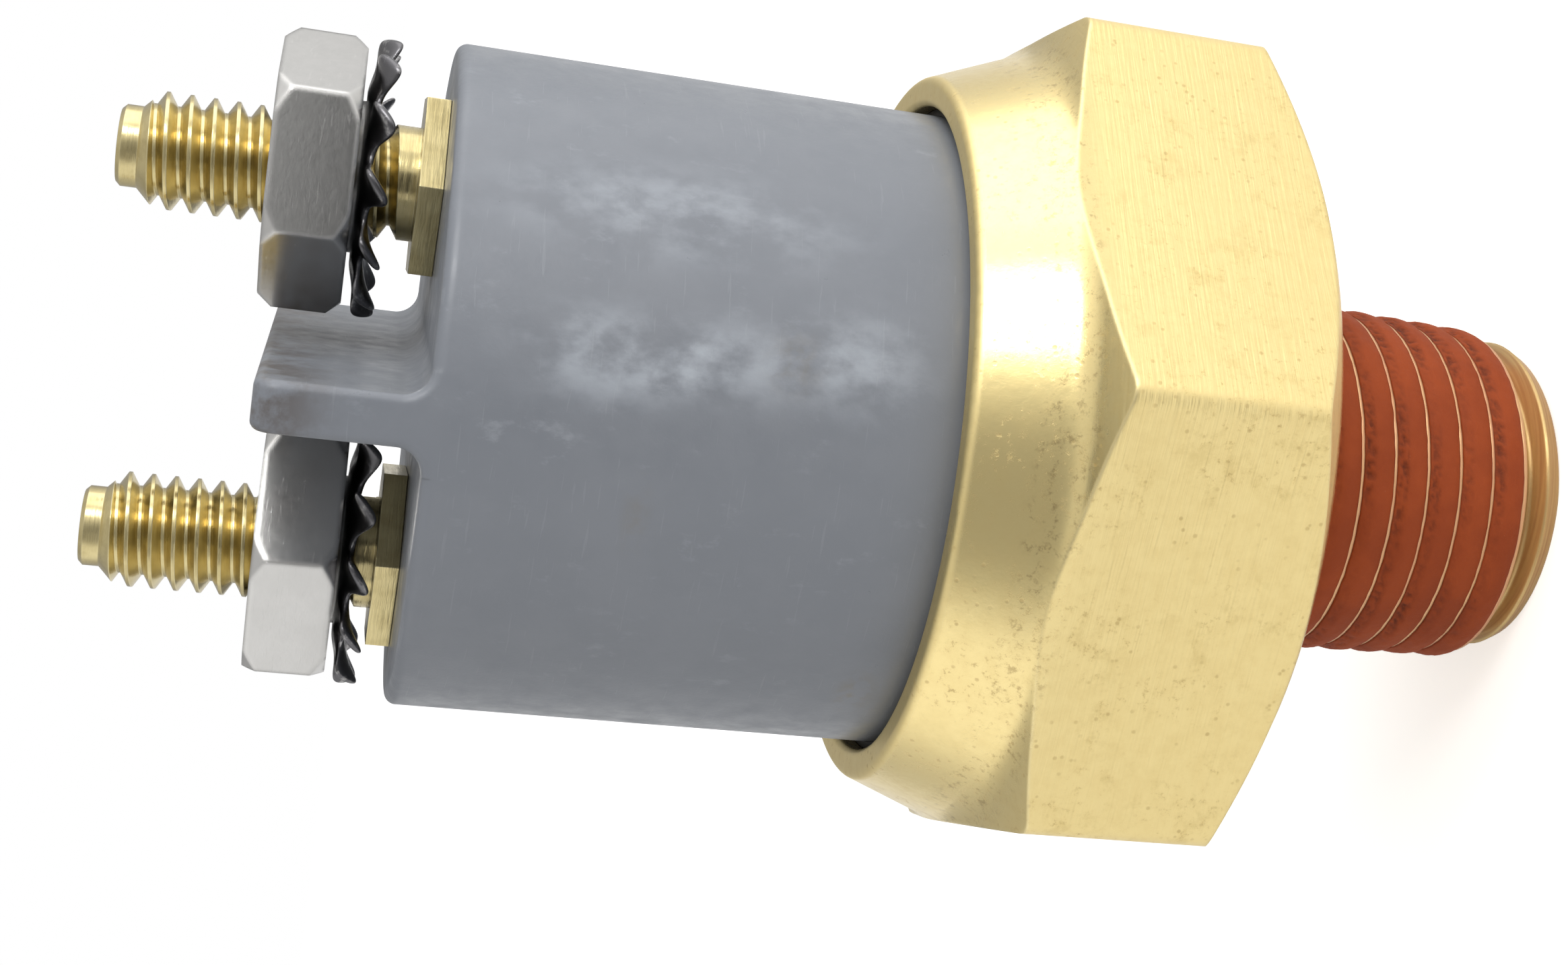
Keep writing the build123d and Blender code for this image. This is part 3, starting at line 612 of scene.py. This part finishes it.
def washer_cage(centre, top):
    """The coarse closed cage of a conical washer whose teeth twist out of the cone."""
    cage = bmesh.new()
    bore, root, middle, tip = WASHER_RADII
    fall = WASHER_DROP / (tip - bore)

    def corner_points(angle, radius, half, twist):
        """Two places either side of a tooth's centre line, each as a pair of vertices, upper then lower."""
        outwards = Vector((math.cos(angle), math.sin(angle), 0.0))
        across = Matrix.Rotation(math.radians(twist), 3, outwards) @ Vector((-outwards.y, outwards.x, 0.0))
        upright = outwards.cross(across)
        level = top - WASHER_SHEET / 2 - (radius - bore) * fall
        spine = outwards * radius + Vector((centre, 0.0, level))
        return [
            [
                cage.verts.new((spine + across * side * half + upright * lift * WASHER_SHEET / 2) * MM)
                for lift in (1, -1)
            ]
            for side in (-1, 1)
        ]

    teeth = []
    for tooth in range(WASHER_TEETH):
        angle = 2 * math.pi * tooth / WASHER_TEETH
        inner = corner_points(angle, bore, TOOTH_HALF_WIDTHS[0] * bore / root, 0.0)
        outer = [
            corner_points(angle, radius, half, twist)
            for radius, half, twist in zip((root, middle, tip), TOOTH_HALF_WIDTHS, TOOTH_TWISTS)
        ]
        teeth.append([inner, *outer])
    for tooth, rows in enumerate(teeth):
        after = teeth[(tooth + 1) % WASHER_TEETH]
        for near_row, far_row in zip(rows, rows[1:]):
            (a_up, a_low), (b_up, b_low) = near_row
            (c_up, c_low), (d_up, d_low) = far_row
            cage.faces.new((a_up, c_up, d_up, b_up))
            cage.faces.new((a_low, b_low, d_low, c_low))
            if near_row is not rows[0]:
                cage.faces.new((a_up, a_low, c_low, c_up))
                cage.faces.new((b_up, d_up, d_low, b_low))
        (a_up, a_low), (b_up, b_low) = rows[-1]
        cage.faces.new((a_up, a_low, b_low, b_up))
        (a_up, a_low), (b_up, b_low) = rows[0]
        cage.faces.new((a_up, b_up, b_low, a_low))
        (c_up, c_low), (d_up, d_low) = rows[0][1], after[0][0]
        (e_up, e_low), (f_up, f_low) = rows[1][1], after[1][0]
        cage.faces.new((c_up, e_up, f_up, d_up))
        cage.faces.new((c_low, d_low, f_low, e_low))
        cage.faces.new((c_up, d_up, d_low, c_low))
        cage.faces.new((e_up, e_low, f_low, f_up))
    bmesh.ops.recalc_face_normals(cage, faces=cage.faces)
    crease = cage.edges.layers.float.new("crease_edge")
    for edge in cage.edges:
        if edge.calc_face_angle() > OUTLINE_ANGLE:
            edge[crease] = OUTLINE_CREASE
    return cage


def add_washer(context, side, finish):
    """A rounded toothed washer in the place of the plain one on that side."""
    node = f"tooth_washer_{side}"
    low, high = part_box(node)
    cage = washer_cage((low.x + high.x) / 2 / MM, high.z / MM)
    data = bpy.data.meshes.new(f"washer_{side}_teeth")
    cage.to_mesh(data)
    cage.free()
    data.polygons.foreach_set("use_smooth", [True] * len(data.polygons))
    data.materials.append(finish)
    washer = bpy.data.objects.new(f"washer_{side}_teeth", data)
    context.scene.collection.objects.link(washer)
    rounding = washer.modifiers.new("rounding", "SUBSURF")
    rounding.levels = rounding.render_levels = ROUNDING_STEPS
    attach(washer, f"washer_{side}")
    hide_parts(node)


class SWITCH_OT_finish_terminals(bpy.types.Operator):
    """Finishes the studs and nuts, and makes the toothed washers"""

    bl_idname = "switch.finish_terminals"
    bl_label = "Screw terminals"

    def execute(self, context):
        settings = context.scene.switch_terminals
        brass, plate = stud_brass(settings), plated_nut(settings)
        steel = dark_spring_steel(settings)
        for side in SIDES:
            wear(f"terminal_stud_{side}", brass)
            wear(f"terminal_nut_{side}", plate)
            add_washer(context, side, steel)
        return {"FINISHED"}


class SWITCH_OT_finish_inside(bpy.types.Operator):
    """Finishes the sensing stack and the contacts inside the housing"""

    bl_idname = "switch.finish_inside"
    bl_label = "Inside pieces"

    def execute(self, context):
        steel = inner_metal("turned_inner_steel", (0.62, 0.62, 0.63), (0.45, 0.45, 0.47))
        wire = inner_metal("drawn_spring_wire", (0.50, 0.50, 0.52), (0.32, 0.32, 0.34), roughness=0.25)
        brass = inner_metal("stamped_contact_brass", (0.85, 0.68, 0.34), (0.70, 0.52, 0.22))
        silver = inner_metal("contact_silver", (0.88, 0.87, 0.84), (0.72, 0.71, 0.68), roughness=0.2)
        film = inner_plastic("diaphragm_film", (0.52, 0.28, 0.06), (0.40, 0.20, 0.04), roughness=0.25)
        rod = inner_plastic("plunger_plastic", (0.72, 0.68, 0.58), (0.60, 0.56, 0.47))
        finishes = {
            steel: ("support_ring", "pressure_plate"),
            wire: ("range_spring", "contact_spring", "bridge_clip"),
            brass: ("calibration_ring", "contact_bridge", "fixed_contact_left", "fixed_contact_right"),
            silver: ("bridge_tips", "fixed_tips"),
            film: ("diaphragm",),
            rod: ("plunger",),
        }
        for finish, nodes in finishes.items():
            for node in nodes:
                wear(node, finish)
        return {"FINISHED"}


# ---- stage ----
# Places and sizes in millimetres, from the same origin as the switch
CAMERA_PLACE = Vector((12.22, -91.20, 33.83))
CAMERA_RIGHT = Vector((0.1507, -0.2566, -0.9547))
CAMERA_FORWARD = Vector((-0.1436, 0.9498, -0.2780))
CAMERA_SHIFT = -0.150
CAMERA_REACH = (0.001, 10.0)  # nearest and farthest, in metres
SENSOR_WIDTH = 36.0
FLOOR_REACH = 3000.0
FLOOR_GLOW = 0.5  # as the camera sees it
FLOOR_SIDE_GLOW = (0.10, 0.07)  # as the pieces see it, towards -X and towards +X
FLOOR_FADE = 60.0  # how far out the floor's glow reaches those levels
FLAG_PLACE = Vector((18.0, -135.0, -2.0))
FLAG_SIZE = (110.0, 80.0)
AIM = Vector((0.0, 0.0, 14.0))
LIGHT_DISTANCE = 260.0
KEY_SIDE, KEY_SIZE = (0.97, 0.10, 0.12), (240, 300)
STRIP_SIDE, STRIP_SIZE = (0.66, -0.60, 0.40), (70, 130)
# The room as the pieces see it: its level, then patches by direction, cosines of the fade and share
ROOM_LEVEL = 0.66
ROOM_GLOWS = (
    ((1.0, 0.0, 0.15), 0.1, 0.9, 0.66),
    ((-0.90, -0.30, 0.31), 0.75, 0.97, 0.45),
)
ROOM_SHADES = (
    ((-0.20, -0.90, 0.38), 0.72, 0.96, 0.40),
    ((0.0, 1.0, 0.3), 0.2, 0.9, 0.35),
)


def add_camera(context, settings):
    forward = CAMERA_FORWARD.normalized()
    right = (CAMERA_RIGHT - forward * CAMERA_RIGHT.dot(forward)).normalized()
    up = right.cross(forward)
    turn = Matrix((right, up, -forward)).transposed().to_4x4()
    data = bpy.data.cameras.new("camera")
    data.lens, data.sensor_width, data.shift_x = settings.focal_length, SENSOR_WIDTH, CAMERA_SHIFT
    data.clip_start, data.clip_end = CAMERA_REACH
    camera = bpy.data.objects.new("camera", data)
    camera.matrix_world = Matrix.Translation(CAMERA_PLACE * MM) @ turn
    context.scene.collection.objects.link(camera)
    context.scene.camera = camera


def add_light(context, name, towards, size, power):
    """A soft rectangular light looking at the switch; towards is its direction from the switch."""
    data = bpy.data.lights.new(name, "AREA")
    data.shape, data.energy = "RECTANGLE", power
    data.size, data.size_y = (side * MM for side in size)
    light = bpy.data.objects.new(name, data)
    direction = Vector(towards).normalized()
    light.location = (AIM + direction * LIGHT_DISTANCE) * MM
    light.rotation_euler = direction.to_track_quat("Z", "Y").to_euler()
    light.visible_camera = False
    context.scene.collection.objects.link(light)


def flat_card(context, name, half_width, half_depth, level=0.0):
    """A level rectangle centred on the axis, all in millimetres."""
    outline = [(half_width * x, half_depth * y, level) for x, y in ((-1, -1), (1, -1), (1, 1), (-1, 1))]
    data = bpy.data.meshes.new(name)
    data.from_pydata([Vector(corner) * MM for corner in outline], [], [(0, 1, 2, 3)])
    card = bpy.data.objects.new(name, data)
    context.scene.collection.objects.link(card)
    return card


def add_floor(context, settings):
    """A flat pale floor under the pipe thread."""
    floor = flat_card(context, "floor", FLOOR_REACH, FLOOR_REACH, THREAD_END)
    skin = Finish("pale_floor")
    cloud = skin.noise(0.02, detail=2.0)
    colour = skin.mix(cloud * 0.3, tuple(settings.floor), (0.88, 0.88, 0.88))
    seen = skin.seen()
    left_side, right_side = FLOOR_SIDE_GLOW
    side_glow = skin.x.ramp(-FLOOR_FADE, FLOOR_FADE, left_side, right_side)
    glow = skin.grey(side_glow * (1 - seen) + seen * FLOOR_GLOW)
    floor.data.materials.append(skin.close(colour, 0.8, Emission_Color=glow, Emission_Strength=1.0))


def add_flag(context):
    """A black card beside the camera that only reflections see; it gives plated faces their dark side."""
    flag = flat_card(context, "black_flag", *(side / 2 for side in FLAG_SIZE))
    turn = (FLAG_PLACE - AIM).normalized().to_track_quat("Z", "Y")
    flag.matrix_world = Matrix.Translation(FLAG_PLACE * MM) @ turn.to_matrix().to_4x4()
    flag.data.materials.append(Finish("flag_black").close((0.02, 0.02, 0.022), 0.9))
    flag.visible_camera = flag.visible_diffuse = flag.visible_shadow = False


def add_world(context):
    """White to the camera, and to the pieces a soft room that darkens behind the camera."""
    world = bpy.data.worlds.new("studio_room")
    context.scene.world = world
    room = Shader(world)
    direction = room.node("ShaderNodeTexCoord", {}, {}).link("Generated")

    def patch(aim, low, high, share):
        facing = room.vector("DOT_PRODUCT", direction, Vector(aim).normalized()).value("Value")
        return facing.ramp(low, high) * share

    level = ROOM_LEVEL
    for glow in ROOM_GLOWS:
        level = level + patch(*glow)
    for shade in ROOM_SHADES:
        level = level * (1 - patch(*shade))
    seen = room.seen()
    colour = room.grey(level * (1 - seen) + seen)
    shine = room.node("ShaderNodeBackground", {}, {"Color": colour, "Strength": 1.0}).link("Background")
    room.node("ShaderNodeOutputWorld", {}, {"Surface": shine})


class SWITCH_OT_set_stage(bpy.types.Operator):
    """Adds the floor, the soft lights, the room and the camera"""

    bl_idname = "switch.set_stage"
    bl_label = "Stage"

    def execute(self, context):
        settings = context.scene.switch_stage
        add_floor(context, settings)
        add_world(context)
        add_flag(context)
        add_light(context, "key_softbox", KEY_SIDE, KEY_SIZE, settings.key_power)
        add_light(context, "strip_softbox", STRIP_SIDE, STRIP_SIZE, settings.strip_power)
        add_camera(context, settings)
        context.scene.view_settings.view_transform = "Standard"
        return {"FINISHED"}


# ---- the add-on ----
class SWITCH_PT_panel(bpy.types.Panel):
    """Lists the pieces of the switch and their finishes"""

    bl_idname = "SWITCH_PT_panel"
    bl_label = "Pressure switch"
    bl_space_type = "VIEW_3D"
    bl_region_type = "UI"
    bl_category = "Switch"

    def draw(self, context):
        for operator, group in STEPS:
            box = self.layout.box()
            box.operator(operator.bl_idname)
            if group:
                settings = getattr(context.scene, group)
                for name in settings.__annotations__:
                    box.prop(settings, name)


GROUPS = {
    "switch_body": SwitchBodySettings,
    "switch_sealant": SwitchSealantSettings,
    "switch_housing": SwitchHousingSettings,
    "switch_terminals": SwitchTerminalSettings,
    "switch_stage": SwitchStageSettings,
}
STEPS = (
    (SWITCH_OT_finish_body, "switch_body"),
    (SWITCH_OT_finish_sealant, "switch_sealant"),
    (SWITCH_OT_finish_housing, "switch_housing"),
    (SWITCH_OT_finish_terminals, "switch_terminals"),
    (SWITCH_OT_finish_inside, None),
    (SWITCH_OT_set_stage, "switch_stage"),
)
CLASSES = (*GROUPS.values(), *(operator for operator, group in STEPS), SWITCH_PT_panel)


def register():
    for entry in CLASSES:
        bpy.utils.register_class(entry)
    for name, group in GROUPS.items():
        setattr(bpy.types.Scene, name, bpy.props.PointerProperty(type=group))


def unregister():
    for name in GROUPS:
        delattr(bpy.types.Scene, name)
    for entry in reversed(CLASSES):
        bpy.utils.unregister_class(entry)


def main():
    register()
    bpy.ops.switch.finish_body()
    bpy.ops.switch.finish_sealant()
    bpy.ops.switch.finish_housing()
    bpy.ops.switch.finish_terminals()
    bpy.ops.switch.finish_inside()
    bpy.ops.switch.set_stage()


if __name__ == "__main__":
    main()
